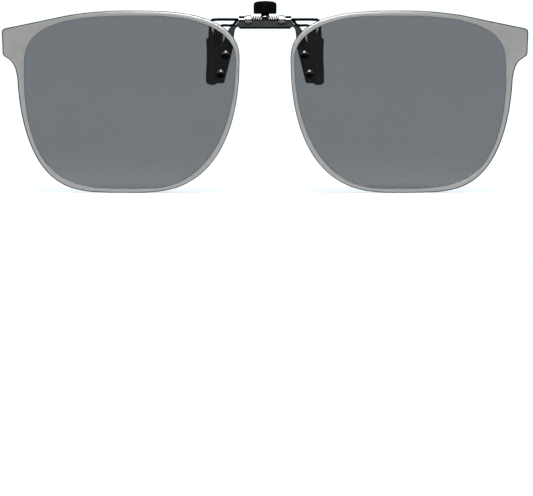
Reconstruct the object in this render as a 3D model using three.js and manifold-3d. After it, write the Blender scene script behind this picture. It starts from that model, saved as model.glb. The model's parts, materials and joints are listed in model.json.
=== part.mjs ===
// Flip-up clip-on sunglasses: two rimmed sun lenses on a bracket that flips up about a cross
// wire, and a sprung clip whose four claws grip the lenses of a pair of spectacles.
// Millimetres. X runs across the face with the wearer's left at +X, the front faces -Y and Z
// is up. Pieces are drawn with Y from the lens plane and Z from the lens centre line. The
// outermost group then moves the origin to the middle of the clip's grip.
import * as THREE from "three";
import { mergeVertices } from "three/addons/utils/BufferGeometryUtils.js";
import Module from "manifold-3d";

const wasm = await Module();
wasm.setup();

// ---------------------------------------------------------------- driving dimensions

const FACE_RADIUS = 280; // the rims, lenses and bracket are bent to one sphere
const FIT = 0.05; // running or seating clearance between two touching pieces
const OVERRUN = 0.5; // how far a cutting tool runs past the piece it cuts

// Depths behind the face sphere, front to back.
const RIM_DEPTH = [-0.3, 1.3];
const LENS_DEPTH = [0.1, 1.0];
const SPACER_DEPTH = [1.08, 1.4];
const BRACKET_DEPTH = [1.45, 2.0];
const RIVET_HEAD_HEIGHT = 0.55;
const RIVET_TAIL_HEIGHT = 0.38;

// One lens: four extremes of the outline, [x, z], joined by superellipse quarters.
const APERTURE = {
  outer: [65.3, 8.5],
  top: [32.8, 23.4],
  inner: [8.0, 11.8],
  bottom: [33.1, -23.35],
  powers: { outerTop: [2.9, 3.2], innerTop: [2.5, 2.1], innerBottom: [2.35, 2.15], outerBottom: [4.3, 2.25] },
};
const RIM_EDGE = {
  outer: [67.2, 8.5],
  top: [38.2, 24.85],
  inner: [6.9, 11.8],
  bottom: [36.7, -24.5],
  powers: { outerTop: [1.8, 4.4], innerTop: [3.15, 2.3], innerBottom: [2.9, 2.2], outerBottom: [4.05, 1.85] },
};
const LENS_CENTRE = [36.6, 0];
const STATION_DEG = 4.3; // spacing of the stations round the rim
const LUG_STEP = 3.2; // spacing of the stations along the end piece
const GROOVE = 0.55; // depth of the groove that holds the lens edge
const GROOVE_SLACK = 0.08; // room between the lens edge and the groove's floor
const LENS_RINGS = [0.25, 0.5, 0.75];

// The hinge wire's axis runs along X here. Both jaws and the lens bracket turn about it.
const AXIS_Y = 3.9;
const AXIS_Z = 22.4;
const WIRE_R = 0.35;
const BORE_R = 0.42;
const PLATE_KNUCKLE = { x: [3.62, 5.2], r: 1.13 };
const BUSHING = { x: [5.26, 7.1], r: 0.62, flange: 0.95, flangeWidth: 0.17 };
// The bracket's knuckles hook under and behind the bushings and over their tops.
const BRACKET_KNUCKLE = { x: [5.5, 7.1], r: 0.97, bore: 0.67, mouth: [22.1, 22.95], web: [21.45, 21.95] };
const WEB_ROOT = 0.5; // how far a knuckle's web runs into the bar

// The clip plate stands behind the bracket's bar.
const PLATE_Y = [4.35, 4.9];
const PLATE_Z = [20.35, 21.3];
const PLATE_HALF_WIDTH = 7.75;
const PLATE_CORNER = 0.4;
const EAR = { width: 0.45, top: 22.1 };

// Claw sleeves: the front pair stands before the spectacle lens and the rear pair behind it.
const FRONT_SLEEVE = { x: 12.65, y: 4.2, halfWidth: 1.18, halfDepth: 0.7, bottom: 5.6, top: 20.3 };
const REAR_SLEEVE = { x: 14.38, y: 5.9, halfWidth: 1.55, halfDepth: 0.7, bottom: 4.6, top: 17.4 };
const SLEEVE_CORNER = 0.3;

// The thumb lever: a narrow hub and tang between the spring's coils, then a wider neck and a
// blade inside the pad. The tang leans back from footZ above the hinge axis.
const LEVER = { hub: 0.62, tangHalfWidth: 0.42, neckHalfWidth: 1.12, footZ: 22.9, thickness: 0.5 };
const NECK_START = 0.7; // how far up the tang the wider neck begins
const PAD = { halfWidth: 3.12, bottom: 24.1, top: 27.35, y: [4.35, 6.75] };
const BLADE = { y: [5.25, 5.8], bottom: 24.15, top: 26.6 };

// The double torsion spring, on the wearer's left: its coil's ends along X, coil and wire radii,
// the angles at which the coil starts and ends, and its leg in front of the clip plate.
const SPRING = {
  x: [3.33, 0.64],
  r: 0.8,
  wire: 0.13,
  degrees: [-36, 4 * 360 + 83],
  leg: [[3.33, 4.18, 20.75], [3.33, 4.18, 21.3]],
};
const DEGREES_PER_POINT = 30; // spacing of the points round the coil

const RIVETS = { upper: [10.7, 13.0], lower: [12.05, 7.85] };
const RIVET = { head: 1.15, shank: 0.5, hole: 0.56, tail: 0.88 };
const SPACER_R = 1.0;

const GRIP = [0, 5.05, 11]; // middle of the grip, which becomes the origin

// ---------------------------------------------------------------- materials

const MATERIALS = {
  rimMetal: { color: 0x9b9da0, metalness: 0.85, roughness: 0.38 },
  sunLens: { color: 0x3c4247, metalness: 0.0, roughness: 0.06, transparent: true, opacity: 0.6 },
  blackMetal: { color: 0x2b2b2d, metalness: 0.6, roughness: 0.4 },
  brightSteel: { color: 0xc9cacc, metalness: 1.0, roughness: 0.22 },
  blackRubber: { color: 0x101011, metalness: 0.0, roughness: 0.6 },
  nylon: { color: 0x1c1c1e, metalness: 0.0, roughness: 0.5 },
};

// ---------------------------------------------------------------- mesh helpers

// A closed indexed mesh with shared vertices and no collapsed faces, facing outwards.
function closed(geometry) {
  const bare = geometry.clone();
  bare.deleteAttribute("normal");
  bare.deleteAttribute("uv");
  bare.clearGroups();
  const merged = mergeVertices(bare, 1e-4);
  const index = merged.index.array;
  const kept = [];
  for (let i = 0; i < index.length; i += 3) {
    const [a, b, c] = [index[i], index[i + 1], index[i + 2]];
    if (a !== b && b !== c && c !== a) kept.push(a, b, c);
  }
  merged.setIndex(kept);
  return signedVolume(merged) < 0 ? flipped(merged) : merged;
}

function signedVolume(geometry) {
  const p = geometry.attributes.position;
  const [a, b, c] = [new THREE.Vector3(), new THREE.Vector3(), new THREE.Vector3()];
  let sum = 0;
  for (let i = 0; i < geometry.index.count; i += 3) {
    a.fromBufferAttribute(p, geometry.index.getX(i));
    b.fromBufferAttribute(p, geometry.index.getX(i + 1));
    c.fromBufferAttribute(p, geometry.index.getX(i + 2));
    sum += a.dot(b.cross(c)) / 6;
  }
  return sum;
}

function flipped(geometry) {
  const turned = geometry.clone();
  const index = Array.from(turned.index.array);
  for (let i = 0; i < index.length; i += 3) [index[i], index[i + 1]] = [index[i + 1], index[i]];
  turned.setIndex(index);
  return turned;
}

function mirrored(geometry) {
  return flipped(geometry.clone().scale(-1, 1, 1));
}

function toSolid(geometry) {
  const mesh = closed(geometry);
  return new wasm.Manifold(new wasm.Mesh({
    numProp: 3,
    vertProperties: new Float32Array(mesh.attributes.position.array),
    triVerts: new Uint32Array(mesh.index.array),
  }));
}

function toGeometry(solid) {
  const mesh = solid.getMesh();
  const geometry = new THREE.BufferGeometry();
  geometry.setAttribute("position", new THREE.BufferAttribute(new Float32Array(mesh.vertProperties), 3));
  geometry.setIndex(Array.from(mesh.triVerts));
  return geometry;
}

function joined(...geometries) {
  return toGeometry(geometries.map(toSolid).reduce((sum, solid) => sum.add(solid)));
}

function cut(geometry, ...tools) {
  return toGeometry(tools.map(toSolid).reduce((rest, tool) => rest.subtract(tool), toSolid(geometry)));
}

// How far the face sphere lies behind its front point.
function sag(x, z) {
  return FACE_RADIUS - Math.sqrt(FACE_RADIUS ** 2 - x ** 2 - z ** 2);
}

// Bends a piece drawn on a flat lens plane back onto the face sphere.
function bentToFace(geometry) {
  const bent = geometry.clone();
  const p = bent.attributes.position;
  for (let i = 0; i < p.count; i += 1) p.setY(i, p.getY(i) + sag(p.getX(i), p.getZ(i)));
  return bent;
}

// A lathe's grid of faces, each vertex put where place(row, column) says. A grid whose
// first and last rows are single points is closed by them, and a ring joins its two ends.
function grid(rows, columns, place, { ring = false } = {}) {
  const count = ring ? rows + 1 : rows;
  const profile = Array.from({ length: count }, (_, row) => new THREE.Vector2(1, row));
  const geometry = new THREE.LatheGeometry(profile, columns);
  for (let column = 0; column <= columns; column += 1) {
    for (let row = 0; row < count; row += 1) {
      const [x, y, z] = place(row % rows, column % columns);
      geometry.attributes.position.setXYZ(column * count + row, x, y, z);
    }
  }
  return closed(geometry);
}

// An outline in X and Z made into a sheet between two depths along Y.
function sheet(shape, [front, back], curveSegments = 6) {
  const geometry = new THREE.ExtrudeGeometry(shape, { depth: back - front, bevelEnabled: false, curveSegments });
  return geometry.rotateX(Math.PI / 2).translate(0, back, 0);
}

// An outline in Y and Z made into a bar between two places along X.
function bar(shape, [from, to], curveSegments = 12) {
  const geometry = new THREE.ExtrudeGeometry(shape, { depth: to - from, bevelEnabled: false, curveSegments });
  const turn = new THREE.Matrix4().makeBasis(
    new THREE.Vector3(0, 1, 0),
    new THREE.Vector3(0, 0, 1),
    new THREE.Vector3(1, 0, 0),
  );
  return geometry.applyMatrix4(turn).translate(from, 0, 0);
}

function box([x0, x1], [y0, y1], [z0, z1]) {
  const geometry = new THREE.BoxGeometry(x1 - x0, y1 - y0, z1 - z0);
  return geometry.translate((x0 + x1) / 2, (y0 + y1) / 2, (z0 + z1) / 2);
}

// A round bar on the hinge axis.
function axisBar(radius, [from, to], sides = 24) {
  const geometry = new THREE.CylinderGeometry(radius, radius, to - from, sides);
  return geometry.rotateZ(Math.PI / 2).translate((from + to) / 2, AXIS_Y, AXIS_Z);
}

// A round wire along a path.
function wire(path, radius, steps, sides = 8) {
  const section = new THREE.Shape();
  section.absarc(0, 0, radius, 0, 2 * Math.PI);
  return new THREE.ExtrudeGeometry(section, { extrudePath: path, steps, curveSegments: sides / 2 });
}

function curve(...points) {
  return new THREE.CatmullRomCurve3(points.map((p) => new THREE.Vector3(...p)));
}

// A solid turned about a line along Y at [x, z], from a profile of [radius, y] pairs.
function turned(profile, [x, z], sides = 14) {
  const points = profile.map(([r, y]) => new THREE.Vector2(r, y));
  return new THREE.LatheGeometry(points, sides).translate(x, 0, z);
}

// ---------------------------------------------------------------- rims and lenses

// Is a point inside an outline of four superellipse quarters?
function inside({ outer, top, inner, bottom, powers }, x, z) {
  const high = z > (x > top[0] ? outer : inner)[1];
  const crown = high ? top : bottom;
  const side = x > crown[0] ? outer : inner;
  const name = (side === outer ? "outer" : "inner") + (high ? "Top" : "Bottom");
  const across = Math.abs((x - crown[0]) / (side[0] - crown[0]));
  const up = Math.abs((z - side[1]) / (crown[1] - side[1]));
  return across ** powers[name][0] + up ** powers[name][1] < 1;
}

// The point where a ray from the lens centre leaves an outline.
function onOutline(outline, angle) {
  let [near, far] = [0, 60];
  for (let i = 0; i < 30; i += 1) {
    const middle = (near + far) / 2;
    const x = LENS_CENTRE[0] + middle * Math.cos(angle);
    const z = LENS_CENTRE[1] + middle * Math.sin(angle);
    if (inside(outline, x, z)) near = middle;
    else far = middle;
  }
  return [LENS_CENTRE[0] + near * Math.cos(angle), LENS_CENTRE[1] + near * Math.sin(angle)];
}

function angleOf([x, z]) {
  return Math.atan2(z - LENS_CENTRE[1], x - LENS_CENTRE[0]);
}

// The end piece: a blunt lug at the upper outer corner, with a concave throat under it.
function lugPoints() {
  const path = new THREE.Path();
  path.moveTo(67.22, 6.6);
  path.quadraticCurveTo(67.7, 10.9, 70.3, 12.1);
  path.quadraticCurveTo(71.15, 12.5, 71.2, 13.3);
  path.lineTo(71.4, 18.8);
  path.quadraticCurveTo(71.4, 19.75, 70.4, 19.95);
  path.lineTo(53.4, 23.55);
  const points = [];
  for (const piece of path.curves) {
    const steps = Math.max(3, Math.ceil(piece.getLength() / LUG_STEP));
    for (let i = 0; i < steps; i += 1) points.push(piece.getPoint(i / steps).toArray());
  }
  points.push([53.4, 23.55]);
  return points;
}

// Stations round one rim: the outer edge, the aperture and the aperture's outward normal.
function rimStations() {
  const lug = lugPoints();
  const first = angleOf(lug[lug.length - 1]);
  const last = angleOf(lug[0]) + 2 * Math.PI;
  const steps = Math.round((last - first) / THREE.MathUtils.degToRad(STATION_DEG));
  const edges = [...lug];
  for (let i = 1; i < steps; i += 1) edges.push(onOutline(RIM_EDGE, first + ((last - first) * i) / steps));
  const apertures = edges.map((edge) => onOutline(APERTURE, angleOf(edge)));
  return edges.map((edge, i) => {
    const [x0, z0] = apertures.at(i - 1);
    const [x1, z1] = apertures[(i + 1) % edges.length];
    const length = Math.hypot(x1 - x0, z1 - z0);
    return { edge, aperture: apertures[i], normal: [(z1 - z0) / length, (x0 - x1) / length] };
  });
}

function beyond({ aperture, normal }, distance) {
  return [aperture[0] + normal[0] * distance, aperture[1] + normal[1] * distance];
}

function rimGeometry(stations) {
  const [front, back] = RIM_DEPTH;
  const groove = [LENS_DEPTH[0] - FIT, LENS_DEPTH[1] + FIT];
  const section = [
    [(s) => s.aperture, front],
    [(s) => s.edge, front],
    [(s) => s.edge, back],
    [(s) => s.aperture, back],
    [(s) => s.aperture, groove[1]],
    [(s) => beyond(s, GROOVE), groove[1]],
    [(s) => beyond(s, GROOVE), groove[0]],
    [(s) => s.aperture, groove[0]],
  ];
  const place = (row, column) => {
    const [at, depth] = section[row];
    const [x, z] = at(stations[column]);
    return [x, depth, z];
  };
  return bentToFace(grid(section.length, stations.length, place, { ring: true }));
}

function lensGeometry(stations) {
  const [front, back] = LENS_DEPTH;
  const rings = [0, ...LENS_RINGS, 1];
  const rows = [...rings.map((f) => [f, front]), ...rings.toReversed().map((f) => [f, back])];
  const place = (row, column) => {
    const [share, depth] = rows[row];
    const [x, z] = beyond(stations[column], GROOVE - GROOVE_SLACK);
    return [
      LENS_CENTRE[0] + (x - LENS_CENTRE[0]) * share,
      depth,
      LENS_CENTRE[1] + (z - LENS_CENTRE[1]) * share,
    ];
  };
  const blank = bentToFace(grid(rows.length, stations.length, place));
  const drill = [[0, -2], [RIVET.hole, -2], [RIVET.hole, 4], [0, 4]];
  return cut(blank, ...Object.values(RIVETS).map((at) => turned(drill, at)));
}

// ---------------------------------------------------------------- lens bracket and rivets

// The bracket's half outline on the wearer's left: bar, shoulder, arm and lens plate.
function bracketOutline() {
  const half = [];
  const path = new THREE.Path();
  path.moveTo(6.8, 19.92);
  path.lineTo(7.3, 20.5);
  path.quadraticCurveTo(8.15, 20.3, 8.3, 18.9);
  path.lineTo(8.65, 14.8);
  path.lineTo(10.95, 5.65);
  path.quadraticCurveTo(11.1, 5.2, 11.6, 5.2);
  path.lineTo(12.5, 5.2);
  path.quadraticCurveTo(13.4, 5.3, 13.4, 6.4);
  path.lineTo(13.1, 11.6);
  path.quadraticCurveTo(12.8, 13.9, 11.5, 16.0);
  path.lineTo(10.0, 19.5);
  path.quadraticCurveTo(9.4, 20.75, 8.3, 20.95);
  path.quadraticCurveTo(7.3, 21.2, 7.1, 22.1);
  path.lineTo(5.38, 22.1);
  path.quadraticCurveTo(5.3, 21.25, 4.45, 21.2);
  path.quadraticCurveTo(3.55, 21.25, 3.45, 22.4);
  for (const piece of path.curves) {
    const steps = piece.isLineCurve ? 1 : 4;
    for (let i = 0; i < steps; i += 1) half.push(piece.getPoint(i / steps));
  }
  half.push(new THREE.Vector2(3.45, 22.4));
  const other = half.toReversed().map((p) => new THREE.Vector2(-p.x, p.y));
  return [...half, ...other];
}

function bracketGeometry() {
  const shape = new THREE.Shape(bracketOutline());
  for (const [x, z] of Object.values(RIVETS)) {
    for (const side of [1, -1]) {
      const hole = new THREE.Path();
      hole.absarc(side * x, z, RIVET.hole, 0, 2 * Math.PI);
      shape.holes.push(hole);
    }
  }
  const stamping = bentToFace(sheet(shape, BRACKET_DEPTH));
  const { x: span, r, bore, mouth, web } = BRACKET_KNUCKLE;
  const barBack = sag(0, AXIS_Z) + BRACKET_DEPTH[1];
  const spans = [span, [-span[1], -span[0]]];
  const rolls = spans.map((s) => axisBar(r, s));
  const webs = spans.map((s) => box(s, [barBack - WEB_ROOT, AXIS_Y], web));
  const openings = spans.flatMap(([from, to]) => {
    const reach = [from - OVERRUN, to + OVERRUN];
    return [axisBar(bore, reach), box(reach, [AXIS_Y - 2 * r, AXIS_Y - FIT], mouth)];
  });
  return cut(joined(stamping, ...rolls, ...webs), ...openings);
}

function rivetGeometry(at) {
  const underHead = LENS_DEPTH[0] - FIT;
  const overTail = BRACKET_DEPTH[1] + FIT;
  const { head, shank, tail } = RIVET;
  const profile = [
    [0, underHead - RIVET_HEAD_HEIGHT],
    [head * 0.5, underHead - RIVET_HEAD_HEIGHT * 0.9],
    [head * 0.87, underHead - RIVET_HEAD_HEIGHT * 0.55],
    [head, underHead - 0.08],
    [head, underHead],
    [shank, underHead],
    [shank, overTail],
    [tail, overTail],
    [tail * 0.7, overTail + RIVET_TAIL_HEIGHT * 0.8],
    [0, overTail + RIVET_TAIL_HEIGHT],
  ];
  return bentToFace(turned(profile, at));
}

function spacerGeometry(at) {
  const [front, back] = SPACER_DEPTH;
  const section = [[RIVET.hole, front], [SPACER_R, front], [SPACER_R, back], [RIVET.hole, back], [RIVET.hole, front]];
  return bentToFace(turned(section, at));
}

// ---------------------------------------------------------------- clip plate and wires

function clipPlateGeometry() {
  const [bottom, top] = PLATE_Z;
  const outer = PLATE_HALF_WIDTH;
  const inner = outer - EAR.width;
  const half = [
    [outer - PLATE_CORNER, bottom],
    [outer, bottom + PLATE_CORNER],
    [outer, EAR.top],
    [inner, EAR.top],
    [inner, top],
  ];
  const other = half.toReversed().map(([x, z]) => [-x, z]);
  const outline = new THREE.Shape([...half, ...other].map((p) => new THREE.Vector2(...p)));
  const { x: span, r } = PLATE_KNUCKLE;
  const spans = [span, [-span[1], -span[0]]];
  const rolls = spans.map((s) => axisBar(r, s));
  const tabs = spans.map((s) => box(s, PLATE_Y, [bottom, AXIS_Z]));
  const bores = spans.map((s) => axisBar(BORE_R, [s[0] - OVERRUN, s[1] + OVERRUN], 16));
  return cut(joined(sheet(outline, PLATE_Y), ...tabs, ...rolls), ...bores);
}

// A flanged bushing: the flange rubs between the knuckles and holds the lenses at an angle.
function bushingGeometry() {
  const { x: [from, to], r, flange, flangeWidth } = BUSHING;
  const blank = joined(axisBar(r, [from, to], 16), axisBar(flange, [from, from + flangeWidth]));
  return cut(blank, axisBar(BORE_R, [from - OVERRUN, to + OVERRUN], 16));
}

// From the weld on the clip plate's ear, out behind the bracket arm and down to the tip.
function frontClawPath() {
  const { x, y, bottom } = FRONT_SLEEVE;
  const plateY = (PLATE_Y[0] + PLATE_Y[1]) / 2;
  return curve(
    [PLATE_HALF_WIDTH + 0.12, plateY, 21.8],
    [8.55, plateY, 21.0],
    [9.3, plateY, 20.8],
    [11.4, plateY, 20.8],
    [x - 0.2, y + 0.15, 20.3],
    [x, y, 19.2],
    [x, y, 14],
    [x, y, bottom + 1.2],
  );
}

// The part of the rear wire that leaves the hinge axis and drops to the claw tip.
function rearClawDrop() {
  const { x, y, bottom } = REAR_SLEEVE;
  return [
    [13.9, AXIS_Y, AXIS_Z],
    [14.6, AXIS_Y + 0.35, AXIS_Z - 0.35],
    [14.85, y - 0.5, 20.6],
    [14.8, y, 18.6],
    [x + 0.2, y, 16.4],
    [x, y, 12],
    [x, y, bottom + 1.4],
  ];
}

function rearWirePath() {
  const drop = rearClawDrop();
  const rise = drop.toReversed().map(([x, y, z]) => [-x, y, z]);
  const path = new THREE.CurvePath();
  path.add(curve(...rise));
  path.add(new THREE.LineCurve3(new THREE.Vector3(...rise.at(-1)), new THREE.Vector3(...drop[0])));
  path.add(curve(...drop));
  return path;
}

// ---------------------------------------------------------------- claw sleeves

// A rubber sleeve: a flattened tube with flat grip faces, a waist and a rounded tip.
function sleeveBlank({ x, y, halfWidth, halfDepth, bottom, top }, waist) {
  const heights = [0, 0.03, 0.09, 0.2, 0.5, 0.85, 0.94, 1].map((f) => bottom + (top - bottom) * f);
  const widths = [0.35, 0.7, 0.93, 1, 1 - waist, 1, 0.86, 0.55];
  const depths = [0.4, 0.75, 0.95, 1, 1, 1, 0.9, 0.7];
  const last = heights.length - 1;
  const corner = SLEEVE_CORNER;
  const ring = [
    [1, -1, 0, 1], [1, 1, 0, -1], [1, 1, -1, 0], [0, 1, 0, 0],
    [-1, 1, 1, 0], [-1, 1, 0, -1], [-1, -1, 0, 1], [-1, -1, 1, 0],
    [0, -1, 0, 0], [1, -1, -1, 0],
  ];
  const place = (row, column) => {
    const level = Math.min(Math.max(row - 1, 0), last);
    if (row === 0 || row === last + 2) return [x, y, heights[level]];
    const [sideX, sideY, pullX, pullY] = ring[column];
    const w = halfWidth * widths[level];
    const d = halfDepth * depths[level];
    return [x + sideX * w + pullX * corner, y + sideY * d + pullY * corner, heights[level]];
  };
  return grid(last + 3, ring.length, place);
}

function sleeveGeometry(spec, waist, path, steps) {
  return cut(sleeveBlank(spec, waist), wire(path, WIRE_R + FIT, steps));
}

// ---------------------------------------------------------------- thumb lever, pad and springs

function leverGeometry() {
  const { hub, tangHalfWidth, neckHalfWidth, footZ, thickness } = LEVER;
  const foot = new THREE.Vector2(AXIS_Y, footZ);
  const along = new THREE.Vector2(BLADE.y[0], BLADE.bottom).sub(foot).normalize();
  const back = new THREE.Vector2(along.y, -along.x).multiplyScalar(thickness);
  const heel = foot.clone().add(back);
  const bend = heel.clone().addScaledVector(along, (BLADE.y[1] - heel.x) / along.x);
  const blade = [
    bend,
    new THREE.Vector2(BLADE.y[1], BLADE.top),
    new THREE.Vector2(BLADE.y[0], BLADE.top),
    new THREE.Vector2(BLADE.y[0], BLADE.bottom),
  ];
  const tang = bar(new THREE.Shape([foot, heel, ...blade]), [-tangHalfWidth, tangHalfWidth]);
  const neckFront = foot.clone().addScaledVector(along, NECK_START);
  const neckBack = heel.clone().addScaledVector(along, NECK_START);
  const neck = bar(new THREE.Shape([neckFront, neckBack, ...blade]), [-neckHalfWidth, neckHalfWidth]);
  const bore = axisBar(WIRE_R + FIT, [-tangHalfWidth - OVERRUN, tangHalfWidth + OVERRUN], 16);
  return cut(joined(axisBar(hub, [-tangHalfWidth, tangHalfWidth]), tang, neck), bore);
}

function padGeometry() {
  const { halfWidth: w, bottom, top, y } = PAD;
  const shape = new THREE.Shape();
  shape.moveTo(-w + 0.45, bottom);
  shape.lineTo(w - 0.45, bottom);
  shape.quadraticCurveTo(w - 0.1, bottom, w - 0.08, bottom + 0.4);
  shape.lineTo(w, top - 1.2);
  shape.quadraticCurveTo(w, top - 0.4, w - 0.8, top - 0.22);
  shape.quadraticCurveTo(0, top + 0.22, -w + 0.8, top - 0.22);
  shape.quadraticCurveTo(-w, top - 0.4, -w, top - 1.2);
  shape.lineTo(-w + 0.08, bottom + 0.4);
  shape.quadraticCurveTo(-w + 0.1, bottom, -w + 0.45, bottom);
  const slot = box(
    [-LEVER.neckHalfWidth - FIT, LEVER.neckHalfWidth + FIT],
    [BLADE.y[0] - FIT, BLADE.y[1] + FIT],
    [bottom - OVERRUN, BLADE.top + FIT],
  );
  return cut(sheet(shape, y, 4), slot);
}

// A double torsion spring wound on the hinge wire. Its two legs bear on the front of the clip
// plate, and the bridge between its coils bears on the front of the thumb lever's tang, so that
// it closes the rear claws.
function springGeometry() {
  const { x: [outer, inner], r, wire: radius, degrees: [start, end], leg } = SPRING;
  const count = Math.round((end - start) / DEGREES_PER_POINT);
  const coil = Array.from({ length: count + 1 }, (_, i) => {
    const angle = THREE.MathUtils.degToRad(start + ((end - start) * i) / count);
    const x = outer + ((inner - outer) * i) / count;
    return [x, AXIS_Y + r * Math.cos(angle), AXIS_Z + r * Math.sin(angle)];
  });
  const left = [...leg, ...coil];
  const right = left.toReversed().map(([x, y, z]) => [-x, y, z]);
  return wire(curve(...left, ...right), radius, 2 * left.length, 6);
}

// ---------------------------------------------------------------- assembly

const model = new THREE.Group();
const drawing = new THREE.Group();
drawing.position.set(-GRIP[0], -GRIP[1], -GRIP[2]);
model.add(drawing);

function add(name, geometry, material) {
  const look = new THREE.MeshStandardMaterial(MATERIALS[material]);
  const mesh = new THREE.Mesh(closed(geometry), look);
  mesh.name = name;
  drawing.add(mesh);
}

function addPair(name, geometry, material) {
  add(`${name}_left`, geometry, material);
  add(`${name}_right`, mirrored(closed(geometry)), material);
}

const stations = rimStations();
addPair("rim", rimGeometry(stations), "rimMetal");
addPair("lens", lensGeometry(stations), "sunLens");
add("bridge_bracket", bracketGeometry(), "blackMetal");
for (const [level, at] of Object.entries(RIVETS)) {
  addPair(`rivet_${level}`, rivetGeometry(at), "blackMetal");
  addPair(`spacer_${level}`, spacerGeometry(at), "nylon");
}

add("clip_plate", clipPlateGeometry(), "brightSteel");
addPair("friction_bushing", bushingGeometry(), "brightSteel");
addPair("front_claw_wire", wire(frontClawPath(), WIRE_R - 0.02, 22), "blackMetal");
addPair("front_claw_sleeve", sleeveGeometry(FRONT_SLEEVE, 0, frontClawPath(), 22), "blackRubber");

add("rear_claw_wire", wire(rearWirePath(), WIRE_R, 60), "blackMetal");
addPair("rear_claw_sleeve", sleeveGeometry(REAR_SLEEVE, 0.1, curve(...rearClawDrop()), 20), "blackRubber");
add("thumb_lever", leverGeometry(), "blackMetal");
add("thumb_pad", padGeometry(), "blackRubber");
add("torsion_spring", springGeometry(), "brightSteel");

export default model;
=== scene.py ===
# Flip-up clip-on sunglasses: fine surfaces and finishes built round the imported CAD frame.
# Pieces are drawn in millimetres, with X to the wearer's left, Y back from the lens plane and
# Z up from the lens centre line. build() puts them in the row frame, in metres.
import json
import math

import bmesh
import bpy
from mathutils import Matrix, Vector
from mathutils.geometry import delaunay_2d_cdt


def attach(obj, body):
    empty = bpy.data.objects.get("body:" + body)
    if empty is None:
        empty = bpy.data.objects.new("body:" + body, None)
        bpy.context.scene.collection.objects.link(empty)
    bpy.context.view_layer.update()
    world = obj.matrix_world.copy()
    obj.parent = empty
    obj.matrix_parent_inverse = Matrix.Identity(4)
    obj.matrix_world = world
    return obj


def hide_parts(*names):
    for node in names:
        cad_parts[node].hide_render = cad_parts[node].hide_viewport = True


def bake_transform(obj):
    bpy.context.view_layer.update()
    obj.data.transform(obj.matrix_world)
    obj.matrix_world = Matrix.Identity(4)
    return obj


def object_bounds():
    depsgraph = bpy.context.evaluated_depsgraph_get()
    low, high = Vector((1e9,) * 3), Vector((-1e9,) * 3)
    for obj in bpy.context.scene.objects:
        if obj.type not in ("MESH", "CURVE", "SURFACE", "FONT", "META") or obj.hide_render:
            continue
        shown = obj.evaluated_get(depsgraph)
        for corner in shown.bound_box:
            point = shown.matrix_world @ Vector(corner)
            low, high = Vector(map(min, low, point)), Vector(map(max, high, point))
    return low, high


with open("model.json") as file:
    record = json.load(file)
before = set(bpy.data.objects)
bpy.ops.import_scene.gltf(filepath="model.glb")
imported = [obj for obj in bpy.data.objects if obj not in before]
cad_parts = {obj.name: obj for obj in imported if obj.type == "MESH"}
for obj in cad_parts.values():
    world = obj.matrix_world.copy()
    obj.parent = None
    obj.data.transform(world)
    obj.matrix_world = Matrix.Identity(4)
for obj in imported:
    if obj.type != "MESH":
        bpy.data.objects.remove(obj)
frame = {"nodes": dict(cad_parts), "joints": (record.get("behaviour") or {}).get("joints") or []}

CAD_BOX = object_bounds()
MM = 0.001

# ---------------------------------------------------------------- dimensions, in millimetres

FACE_RADIUS = 280  # the lenses, rims and bracket lie on one sphere, and depths are from it
AXIS_Y, AXIS_Z = 3.9, 22.4  # the hinge axis
ORIGIN = Vector(frame["joints"][0]["pos_m"]) - Vector((0, AXIS_Y, AXIS_Z)) * MM

RIM_DEPTH = (-0.3, 1.3)
RIM_EDGE = 0.34  # rounding of the rim's outer edges
RIM_LIP = 0.16  # rounding of the lips that hold the lens
RIM_CROWN = 0.03  # how far the rim's front bulges
RIM_MARGIN = 0.02  # from the rounded edges to the faces between them
GROOVE = (0.05, 1.05)
GROOVE_FLOOR = 0.55  # how far the groove goes into the rim
LENS_CENTRE = (36.6, 0)
LENS_DEPTH = (0.1, 1.0)
LENS_EDGE = 0.08  # rounding of the lens's edge
LENS_INTO_GROOVE = 0.47
SUBDIVISIONS = 4  # fine stations between two of the CAD rim's
ON_FRONT = 0.01  # a CAD point this near the rim's front is on it
SAME_RAY = 2e-4  # radians: rays this close are one ray that rounding has split

BRACKET_DEPTH = (1.45, 2.0)
BRACKET_EDGE = 0.27
BAR_HALF_WIDTH, BAR_BOTTOM = 7, 19.8
BAR_ROLL, BAR_ROLL_TOP, BAR_ROLL_HEIGHT = 0.12, 20.42, 0.19  # the bar's lower edge rolls back
RIVETS = {"upper": (10.7, 13.0), "lower": (12.05, 7.85)}  # their middles, in X and Z
RIVET_HOLE = 0.53
RIVET_HEAD, RIVET_DOME, RIVET_SHANK = 1.15, 0.47, 0.5  # head radius, dome height, shank radius

PLATE_Y = (4.35, 4.9)
PLATE_EDGE = 0.08
FRONT_CLAW, REAR_CLAW = (12.65, 4.2), (14.38, 5.9)  # where the claws hang, in X and Y
WIRE_R = 0.38  # with its lacquer, so a little more than the CAD's bare wire
FRONT_WIRE_R = WIRE_R - 0.02
CHANNEL_R = WIRE_R + 0.02  # of the sleeves' channels
COLLAR_R, COLLAR_TOP_R = 0.46, 0.43  # of the rear sleeves' thin collars
WELD_R = 0.42  # of the bead that joins a front wire to its ear
BLADE_Y = 5.525  # of the thumb lever's blade
PAD_Y, PAD_EDGE = (4.38, 6.72), 0.5
SPRING_R, SPRING_WIRE_R = 0.8, 0.13
SPRING_OUTER, SPRING_INNER = 3.33, 0.64  # where each half's coils start and end, in X

CORNER_STEPS = 3
HOLE_SIDES = 28
FLAT_MARGIN = 0.04  # the flat stays flat to this close to a rounded edge
MITRE = 0.6  # corners sharper than this cosine are offset as if they had it
SHARP_ANGLE = math.radians(32)  # shading breaks at edges sharper than this
TINY = 1e-6  # a radius that welding makes into one point

# ---------------------------------------------------------------- shapes


def sag(x, z):
    """How far the face sphere lies behind its front point."""
    return FACE_RADIUS - math.sqrt(FACE_RADIUS**2 - x * x - z * z)


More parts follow.
